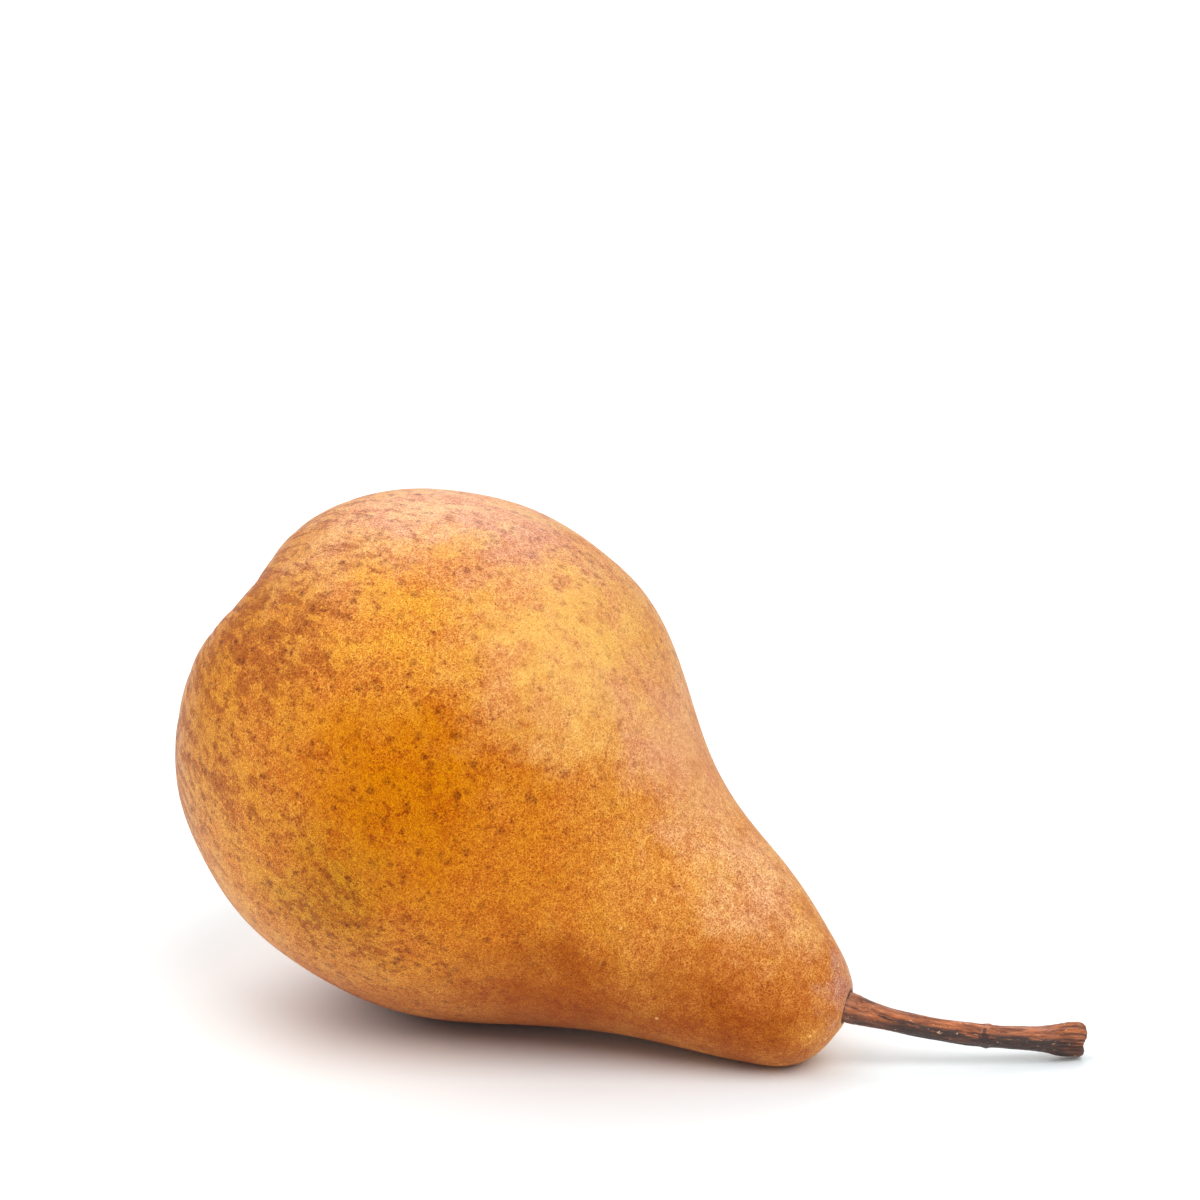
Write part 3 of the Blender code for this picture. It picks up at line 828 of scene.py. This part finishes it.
def build_calyx(laid, material):
    """The dried calyx: a rough cup, five curled sepals and a tuft of old stamens."""
    build_cup(laid, material)
    for index in range(SEPAL_COUNT):
        points, faces = sepal_mesh(index)
        mesh = new_mesh(f"sepal_{index + 1}", turned(points, laid), faces)
        blade = new_piece(f"sepal_{index + 1}", mesh, material)
        shell = blade.modifiers.new("thickness", "SOLIDIFY")
        shell.thickness = SEPAL_THICKNESS
        shell.offset = 0.0

    for index in range(STAMEN_COUNT):
        build_stamen(index, laid, material)


def build_cup(laid, material):
    """The calyx's rough cup, which stands for the whole of its solid."""
    radii, heights = (np.array(CUP_OUTLINE) * MM).T
    stops = range(len(CUP_OUTLINE))
    steps = np.linspace(0.0, len(CUP_OUTLINE) - 1.0, CUP_STEPS)
    radii = np.interp(steps, stops, radii)
    heights = np.interp(steps, stops, heights) + CALYX_TOP
    rings = turned_rings(radii, heights, CUP_SIDES)
    rough = CUP_ROUGHNESS * roughly(rings, CUP_ROUGHNESS_SIZE)
    rings += rough[:, None] * rings / CUP_RADIUS * [1, 1, 0]
    faces = ring_faces(CUP_STEPS, CUP_SIDES)[:, ::-1].tolist()
    mesh = new_mesh("calyx_cup", turned(rings, laid), faces)
    new_piece("calyx_cup", mesh, material, ["calyx"])


def build_stamen(index, laid, material):
    """One withered stamen: a thin crooked thread with a bead at its end."""
    ring_share = STAMEN_RING_SPREAD * math.sin(STAMEN_RING_STEP * index) ** 2
    ring = STAMEN_RING * (1.0 - STAMEN_RING_SPREAD + ring_share)
    length_share = STAMEN_LENGTH_SPREAD * math.sin(STAMEN_LENGTH_STEP * index)
    length = STAMEN_LENGTH * (1.0 - STAMEN_LENGTH_SPREAD + length_share)
    share = np.linspace(0.0, 1.0, STAMEN_STEPS)
    bend = STAMEN_BEND * np.sin(STAMEN_BEND_TURNS * share + index)
    reach = ring + STAMEN_SPLAY * share ** 2 * math.cos(index) + bend
    turn = STAMEN_TURN_STEP * index + STAMEN_TWIST * share * math.sin(index)
    depth = CALYX_TOP - STAMEN_SINK - length * share
    line = np.stack([reach * np.cos(turn), reach * np.sin(turn), depth], axis=-1)
    bead = 1.0 + BEAD_SWELL * np.exp(-((share - BEAD_PLACE) / BEAD_SPREAD) ** 2)
    tip = np.clip((THREAD_TIP - share) / THREAD_TIP_LENGTH, THREAD_TIP_LEAST, 1.0)
    radius = STAMEN_RADIUS * bead * np.sqrt(tip)
    across, upward, _ahead = carried_frames(line)
    spokes = spokes_round(across, upward, around(STAMEN_SIDES))
    points = (line[:, None] + spokes * radius[:, None, None]).reshape(-1, 3)
    faces = rod_faces(STAMEN_STEPS, STAMEN_SIDES)
    mesh = new_mesh(f"stamen_{index + 1}", turned(points, laid), faces)
    new_piece(f"stamen_{index + 1}", mesh, material)


# Materials

class Nodes:
    """Short ways to add shader nodes to a new material."""

    def __init__(self, name):
        self.material = bpy.data.materials.new(name)
        self.material.use_nodes = True
        self.tree = self.material.node_tree
        self.shader = self.tree.nodes["Principled BSDF"]

    def feed(self, socket, value):
        """Link a socket to another, or give it a plain value."""
        if isinstance(value, bpy.types.NodeSocket):
            self.tree.links.new(value, socket)
        else:
            socket.default_value = value

    def node(self, kind, settings, inputs):
        """A node of a kind, with its settings and its inputs by name or place."""
        made = self.tree.nodes.new(kind)
        for name, value in settings.items():
            setattr(made, name, value)
        for key, value in inputs.items():
            self.feed(made.inputs[key], value)
        return made

    def math(self, operation, *values):
        """A number worked out from others."""
        settings = {"operation": operation}
        return self.node("ShaderNodeMath", settings, dict(enumerate(values))).outputs[0]

    def times(self, number, *others):
        """A number times some others."""
        for other in others:
            number = self.math("MULTIPLY", number, other)
        return number

    def vector(self, operation, *values):
        """A vector, or its length, worked out from others."""
        settings = {"operation": operation}
        made = self.node("ShaderNodeVectorMath", settings, dict(enumerate(values)))
        return made.outputs["Value" if operation == "LENGTH" else "Vector"]

    def band(self, value, start, full, fading, end):
        """1 on a stretch of a value and 0 outside it, with soft ends."""
        return self.times(self.step(value, start, full), self.step(value, end, fading))

    def step(self, value, low, high, start=0.0, end=1.0):
        """A smooth change from start to end as a value goes from low to high."""
        made = self.node(
            "ShaderNodeMapRange", {"interpolation_type": "SMOOTHSTEP"},
            {"Value": value, "From Min": low, "From Max": high, "To Min": start, "To Max": end},
        )
        return made.outputs["Result"]

    def attribute(self, name, output="Fac"):
        """What the mesh holds at a point under a name."""
        return self.node("ShaderNodeAttribute", {"attribute_name": name}, {}).outputs[output]

    def parts(self, vector):
        """The three numbers of a vector."""
        return self.node("ShaderNodeSeparateXYZ", {}, {0: vector}).outputs

    def noise(self, place, size, detail, roughness, output="Fac"):
        """Cloudy noise of 0 to 1 whose lumps are about a size."""
        inputs = {"Vector": place, "Scale": 1.0 / size, "Detail": detail, "Roughness": roughness}
        made = self.node("ShaderNodeTexNoise", {"noise_dimensions": "3D"}, inputs)
        return made.outputs[output]

    def centred(self, level):
        """A noise's level as how far it is from its middle."""
        return self.math("SUBTRACT", level, NOISE_MIDDLE)

    def shifted(self, place, size, reach, detail, roughness):
        """A place moved about by noise, so that what is drawn there gets crooked."""
        clouds = self.noise(place, size, detail, roughness, "Color")
        offset = self.vector("SUBTRACT", clouds, (NOISE_MIDDLE,) * 3)
        return self.vector("ADD", place, self.vector("MULTIPLY", offset, (reach,) * 3))

    def cells(self, place, size, feature="F1"):
        """A pattern of cells of about a size: each point's distance and its cell's colour."""
        inputs = {"Vector": place, "Scale": 1.0 / size}
        return self.node("ShaderNodeTexVoronoi", {"feature": feature}, inputs).outputs

    def mix(self, factor, first, second, blend="MIX"):
        """A colour between two colours, or one blended with the other as far as a factor says."""
        settings = {"data_type": "RGBA", "blend_type": blend}
        made = self.node("ShaderNodeMix", settings, {0: factor, 6: first, 7: second})
        return made.outputs[2]

    def spots(self, place, spacing, reach, fuzz):
        """1 on fuzzy spots of mixed sizes about a spacing apart, and 0 between them."""
        cells = self.cells(place, spacing)
        size = self.parts(cells["Color"])[0]
        away = self.math("ADD", cells["Distance"], self.times(size, LENTICEL_UNEVENNESS))
        return self.step(self.math("ADD", away, fuzz), reach, reach - LENTICEL_EDGE)

    def between(self, factor, first, second):
        """A number between two numbers."""
        made = self.node("ShaderNodeMix", {"data_type": "FLOAT"}, {0: factor, 2: first, 3: second})
        return made.outputs[0]

    def bump(self, height, distance):
        """A normal tilted by a height from 0 to 1 that stands for a distance."""
        inputs = {"Height": height, "Distance": distance, "Strength": 1.0}
        return self.node("ShaderNodeBump", {}, inputs).outputs["Normal"]

    def finished(self, looks):
        """The material, once its shader's inputs are fed by name."""
        for name, value in looks.items():
            self.feed(self.shader.inputs[name], value)
        return self.material


def own_place(nodes, laid):
    """A point's place in the pear's own frame, in millimetres."""
    coordinates = nodes.node("ShaderNodeTexCoord", {}, {})
    mapping = nodes.node(
        "ShaderNodeMapping", {"vector_type": "TEXTURE"},
        {
            "Vector": coordinates.outputs["Object"],
            "Location": laid.translation,
            "Rotation": laid.to_euler(),
        },
    )
    return nodes.vector("MULTIPLY", mapping.outputs[0], (1.0 / MM,) * 3)


def patch_mask(nodes, place, area):
    """1 in the middle of a soft patch of the skin and 0 outside it."""
    side, height, across, along = area
    heights, radii = np.array(OUTLINE[:-BASIN_POINTS])[::-1].T
    radius = float(np.interp(height, heights, radii))
    turn = math.radians(side)
    centre = (radius * math.cos(turn), radius * math.sin(turn), height)
    offset = nodes.vector("SUBTRACT", place, centre)
    scaled = nodes.vector("MULTIPLY", offset, (1.0 / across, 1.0 / across, 1.0 / along))
    return nodes.step(nodes.vector("LENGTH", scaled), *PATCH_FADE)


def patched(nodes, blend, place, everywhere, patches):
    """A number or a colour that is the same everywhere but in some soft patches."""
    result = everywhere
    for *area, value, strength in patches.values():
        mask = nodes.times(patch_mask(nodes, place, area), strength)
        result = blend(mask, result, value)
    return result


def covered(nodes, level, share, softness):
    """Where a noise level is high enough to cover about a share of the surface."""
    threshold = nodes.math("SUBTRACT", COVER_NOTHING, nodes.times(share, COVER_SPAN))
    low = nodes.math("SUBTRACT", threshold, softness)
    return nodes.step(level, low, nodes.math("ADD", threshold, softness))


def streaked_place(nodes, place):
    """A place spread out so that what is drawn there runs in streaks towards the calyx."""
    x, y, z = nodes.parts(place)
    radius = nodes.vector("LENGTH", nodes.vector("MULTIPLY", place, (1.0, 1.0, 0.0)))
    radius = nodes.math("MAXIMUM", radius, STREAK_LEAST_RADIUS)
    spread = nodes.math("DIVIDE", STREAK_RADIUS, radius)
    moved = [nodes.times(x, spread), nodes.times(y, spread), nodes.times(z, STREAK_STRETCH)]
    return nodes.node("ShaderNodeCombineXYZ", {}, dict(enumerate(moved))).outputs[0]


def skin_film(nodes, place, torn, height):
    """Where the orange film lies: in blotches, whose edges are softer towards the neck."""
    share = patched(nodes, nodes.between, torn, FILM_EVERYWHERE, FILM_PATCHES)
    level = nodes.noise(place, *FILM_NOISE)
    return covered(nodes, level, share, nodes.step(height, *FILM_SOFTNESS))


def skin_mottles(nodes, place, torn, height):
    """Where the brown mottles lie, which turn to streaks by the calyx."""
    share = patched(nodes, nodes.between, torn, MOTTLES_EVERYWHERE, MOTTLE_PATCHES)
    plain = nodes.noise(place, *MOTTLE_NOISE)
    streaks = nodes.noise(streaked_place(nodes, place), *MOTTLE_NOISE)
    level = nodes.between(nodes.step(height, *STREAKS_BY_CALYX), plain, streaks)
    grain = nodes.centred(nodes.noise(place, *GRAIN_NOISE))
    level = nodes.math("ADD", level, nodes.times(grain, MOTTLE_GRAIN))
    return covered(nodes, level, share, MOTTLE_SOFTNESS)


def skin_net(nodes, place):
    """The net's pale lines, which are cell borders and squiggles, and the cells' dark middles."""
    crooked = nodes.shifted(place, *NET_TEARING)
    middles = nodes.cells(crooked, CELL_SIZE)["Distance"]
    borders = nodes.cells(crooked, CELL_SIZE, "DISTANCE_TO_EDGE")["Distance"]
    level = nodes.math("ABSOLUTE", nodes.centred(nodes.noise(place, *SQUIGGLE_NOISE)))
    squiggles = nodes.step(level, *SQUIGGLE_EDGE)
    lines = nodes.math("MAXIMUM", nodes.step(borders, *BORDER_EDGE), squiggles)
    gaps = nodes.step(nodes.noise(place, *NET_NOISE), *NET_GAPS)
    return nodes.times(lines, gaps), nodes.step(middles, *CELL_EDGE)


def skin_lenticels(nodes, place):
    """The lenticels: fuzzy dark spots of many sizes, with smaller ones between."""
    fuzz = nodes.times(nodes.centred(nodes.noise(place, *FUZZ_NOISE)), LENTICEL_FUZZ)
    kinds = [nodes.spots(place, spacing, reach, fuzz) for spacing, reach in LENTICELS]
    return nodes.math("MAXIMUM", *kinds)


def neck_patterns(nodes, place, height):
    """The neck's soft rusty clouds, and its tiny pale flecks."""
    clouds = nodes.step(nodes.noise(place, *CLOUD_NOISE), *CLOUD_EDGE)
    flecks = nodes.step(nodes.cells(place, FLECK_SPACING)["Distance"], *FLECK_EDGE)
    clouds = nodes.times(clouds, nodes.step(height, *CLOUDS_BY_NECK))
    return clouds, nodes.times(flecks, nodes.step(height, *FLECKS_BY_NECK))


def skin_material(laid):
    """The pear's skin: golden ground with some painted sheen on top, orange film with its pale
    net, mottles, lenticels, and painted shade in the pit round the stem.
    """
    nodes = Nodes("russet_skin")
    place = own_place(nodes, laid)
    height = nodes.parts(place)[2]
    torn = nodes.shifted(place, *PATCH_TEARING)
    film = skin_film(nodes, place, torn, height)
    mottles = skin_mottles(nodes, place, torn, height)
    crust = nodes.math("MAXIMUM", film, mottles)
    film = nodes.times(film, nodes.between(mottles, *FILM_STRENGTH))

    # The fine pattern fades where the skin is plainer, and its dark parts fade up the neck
    pattern = patched(nodes, nodes.between, place, PATTERN_EVERYWHERE, PATTERN_PATCHES)
    lines, cells = skin_net(nodes, place)
    lines = nodes.times(lines, pattern)
    cells = nodes.times(pattern, nodes.step(height, *CELLS_BY_NECK), cells)
    spots = nodes.times(skin_lenticels(nodes, place), pattern)
    spots = nodes.times(spots, nodes.step(height, *LENTICELS_BY_NECK))
    speckle = nodes.noise(place, *SPECKLE_NOISE)
    clouds, flecks = neck_patterns(nodes, place, height)

    # Layers that tint the ground, from the lowest up
    layers = [
        (film, FILM_TINT),
        (mottles, MOTTLE_TINT),
        (nodes.times(cells, nodes.between(crust, *CELL_STRENGTH)), CELL_TINT),
        (nodes.times(spots, nodes.between(cells, *LENTICEL_STRENGTH)), LENTICEL_TINT),
        (nodes.step(speckle, *DARK_SPECK_EDGE, 0.0, pattern), DARK_SPECK_TINT),
        (nodes.step(speckle, *PALE_SPECK_EDGE, 0.0, pattern), PALE_SPECK_TINT),
        (nodes.times(lines, nodes.between(crust, *LINE_STRENGTH)), LINE_TINT),
        (clouds, CLOUD_TINT),
    ]
    colour = patched(nodes, nodes.mix, torn, ORANGE_TAN, GROUND_PATCHES)
    for share, tint in layers:
        colour = nodes.mix(share, colour, (*tint, 1.0), "MULTIPLY")
    colour = nodes.mix(flecks, colour, FLECK)
    # Painted shade: the skin sunk into the pit round the stem is painted dark brown
    crack = nodes.step(nodes.attribute("crack"), *PIT_SHADE_EDGE)
    colour = nodes.mix(crack, colour, FOOT_SHADE_BROWN)

    relief = nodes.math("ADD", nodes.times(lines, crust), nodes.times(speckle, SPECKLE_RELIEF))
    return nodes.finished({
        "Base Color": colour,
        "Roughness": nodes.between(crust, *SKIN_ROUGHNESS),
        "Normal": nodes.bump(relief, SKIN_BUMP),
        **SKIN_FINISH,
    })


def bark_noise(nodes, straight, shrinking, *noise):
    """Noise on the unrolled bark, drawn out along the stem."""
    return nodes.noise(nodes.vector("MULTIPLY", straight, (1.0, 1.0, shrinking)), *noise)


def bark_ridges(nodes, straight, grain, fine):
    """The bark's red and orange ridges, with pale crests, dark furrows and fine cracks."""
    tone = nodes.step(bark_noise(nodes, straight, *TONE_NOISE), *TONE_EDGE)
    ridges = nodes.mix(tone, BARK_RED, BARK_ORANGE)
    colour = nodes.mix(nodes.step(grain, *RIDGE_EDGE), BARK_DARK, ridges)
    colour = nodes.mix(nodes.step(grain, *CREST_EDGE), colour, BARK_PALE)
    return nodes.mix(nodes.step(fine, *FINE_EDGE), colour, BARK_CRACK_AND_SHADE)


def bark_black(nodes, straight, blotch, fine):
    """Where the bark is black: patches low on the outer half, partly real black bark and partly
    painted shade on the stem's lower side, and thin streaks by the fruit.
    """
    _front, above, along = nodes.parts(straight)
    outer = nodes.band(along, *BLACK_STRETCH)
    # Black only low on the stem: partly real black bark, partly painted shade on its lower side
    low = nodes.step(above, *BLACK_AND_SHADE_BELOW)
    patches = nodes.times(low, outer, nodes.step(blotch, *BLACK_EDGE))
    streaks = nodes.step(bark_noise(nodes, straight, *BLACK_STREAK_NOISE), *BLACK_STREAK_EDGE)
    streaks = nodes.times(streaks, nodes.band(along, *BLACK_STREAK_STRETCH))
    black = nodes.math("MAXIMUM", patches, streaks)
    return nodes.times(black, nodes.step(fine, *BLACK_STRENGTH))


def wood_material():
    """The stem's bark: red-brown ridges, black patches below that are partly painted shade,
    painted shade below, in the knob's grooves and round the foot, pale flecks and a greyer base.
    """
    nodes = Nodes("stem_bark")
    straight = nodes.attribute("straight", "Vector")
    _front, above, along = nodes.parts(straight)
    grain = bark_noise(nodes, straight, *RIDGE_NOISE)
    fine = bark_noise(nodes, straight, *FINE_NOISE)
    blotch = bark_noise(nodes, straight, *BLOTCH_NOISE)
    off_node = nodes.math("ABSOLUTE", nodes.math("SUBTRACT", along, NODE_PLACE))
    off_node = nodes.math("ADD", off_node, nodes.times(nodes.centred(blotch), NODE_WANDER))
    scurf = nodes.step(nodes.noise(straight, *SCURF_NOISE), *SCURF_EDGE)
    flakes = bark_noise(nodes, straight, *FLAKE_NOISE)

    # Layers that cover the ridges, from the lowest up: black (partly painted shade below), the
    # painted shade below, the node's dark crack, scurf by the foot, pale flecks, painted shade in
    # the knob's grooves and painted shade round the foot
    layers = [
        (bark_black(nodes, straight, blotch, fine), BARK_BLACK),
        # Painted shade on the stem's lower side
        (nodes.step(above, *SHADE_BELOW), BARK_CRACK_AND_SHADE),
        (nodes.step(off_node, *NODE_CRACK), BARK_CRACK_AND_SHADE),
        (nodes.times(nodes.step(along, *SCURF_BY_FOOT), scurf), BARK_GREY),
        (nodes.step(flakes, *FLAKE_EDGE), BARK_FLECK),
        # Painted shade in the knob's grooves
        (nodes.step(nodes.attribute("groove"), *GROOVE_SHADE_EDGE), BARK_CRACK_AND_SHADE),
        # Painted shade where the bark touches the skin
        (nodes.step(nodes.attribute("foot_shade"), *FOOT_SHADE_EDGE), FOOT_SHADE_BROWN),
    ]
    colour = bark_ridges(nodes, straight, grain, fine)
    for share, cover in layers:
        colour = nodes.mix(share, colour, cover)

    relief = nodes.math("ADD", grain, nodes.times(fine, FINE_RELIEF))
    return nodes.finished({
        "Base Color": colour,
        "Roughness": nodes.step(grain, *BARK_ROUGHNESS),
        "Normal": nodes.bump(relief, BARK_BUMP),
        **BARK_FINISH,
    })


def calyx_material():
    """Dry sepals: dark brown with greyish, finely felted streaks."""
    nodes = Nodes("dry_calyx")
    coordinates = nodes.node("ShaderNodeTexCoord", {}, {}).outputs["Object"]
    place = nodes.vector("MULTIPLY", coordinates, (1.0 / MM,) * 3)
    streak = nodes.noise(place, *FELT_NOISE)
    return nodes.finished({
        "Base Color": nodes.mix(nodes.step(streak, *FELT_EDGE), FELT_DARK, FELT_PALE),
        "Normal": nodes.bump(streak, FELT_BUMP),
        **FELT_FINISH,
    })


# Stage, light and camera

def build_stage():
    """A plain pale floor under a white backdrop."""
    edge = FLOOR_REACH
    corners = [(-edge, -edge, 0.0), (edge, -edge, 0.0), (edge, edge, 0.0), (-edge, edge, 0.0)]
    mesh = new_mesh("floor", np.array(corners), [(0, 1, 2, 3)])
    floor = new_object("floor", mesh)
    mesh.materials.append(Nodes("pale_floor").finished(FLOOR_LOOKS))


def view_directions():
    """The camera's directions in the scene: right, level forward, and forward."""
    right = Vector((math.cos(VIEW_TURN), math.sin(VIEW_TURN), 0.0))
    level = Vector((-math.sin(VIEW_TURN), math.cos(VIEW_TURN), 0.0))
    forward = level * math.cos(VIEW_HEIGHT) - Vector((0, 0, math.sin(VIEW_HEIGHT)))
    return right, level, forward


def build_light():
    """Three soft studio lights round the pear, in a pale room."""
    right, level, _forward = view_directions()
    for name, (turn, height, width, strength) in SOFT_LIGHTS.items():
        turn, height = math.radians(turn), math.radians(height)
        flat = right * math.cos(turn) + level * math.sin(turn)
        toward = flat * math.cos(height) + Vector((0, 0, math.sin(height)))
        light = bpy.data.lights.new(name, "SUN")
        light.energy = strength
        light.angle = math.radians(width)
        new_object(name, light).rotation_euler = (-toward).to_track_quat("-Z", "Y").to_euler()

    world = bpy.data.worlds.new("room")
    bpy.context.scene.world = world
    world.use_nodes = True
    tree = world.node_tree
    back = tree.nodes["Background"]
    back.inputs["Color"].default_value = WHITE
    path = tree.nodes.new("ShaderNodeLightPath")
    strength = tree.nodes.new("ShaderNodeMix")
    strength.data_type = "FLOAT"
    tree.links.new(path.outputs["Is Camera Ray"], strength.inputs[0])
    strength.inputs[2].default_value = SKY_STRENGTH
    strength.inputs[3].default_value = BACKDROP_STRENGTH
    tree.links.new(strength.outputs[0], back.inputs["Strength"])


def build_camera(shift):
    """The camera, at the photograph's viewing angle."""
    right, _level, forward = view_directions()
    aim = right * VIEW_RIGHT + Vector((0, 0, VIEW_UP)) + shift
    data = bpy.data.cameras.new("camera")
    data.lens = LENS
    data.sensor_width = SENSOR_WIDTH
    data.clip_start = CLIP_START
    data.clip_end = CLIP_END
    camera = new_object("camera", data)
    camera.location = aim - forward * VIEW_DISTANCE
    camera.rotation_euler = forward.to_track_quat("-Z", "Y").to_euler()
    bpy.context.scene.camera = camera


def main():
    """Dress the pear and light it."""
    laid, shift, skin = build_fruit()
    build_stem(shift, skin, wood_material())
    build_calyx(laid, calyx_material())
    build_stage()
    build_light()
    build_camera(shift)
    bpy.context.scene.view_settings.view_transform = "Standard"


main()
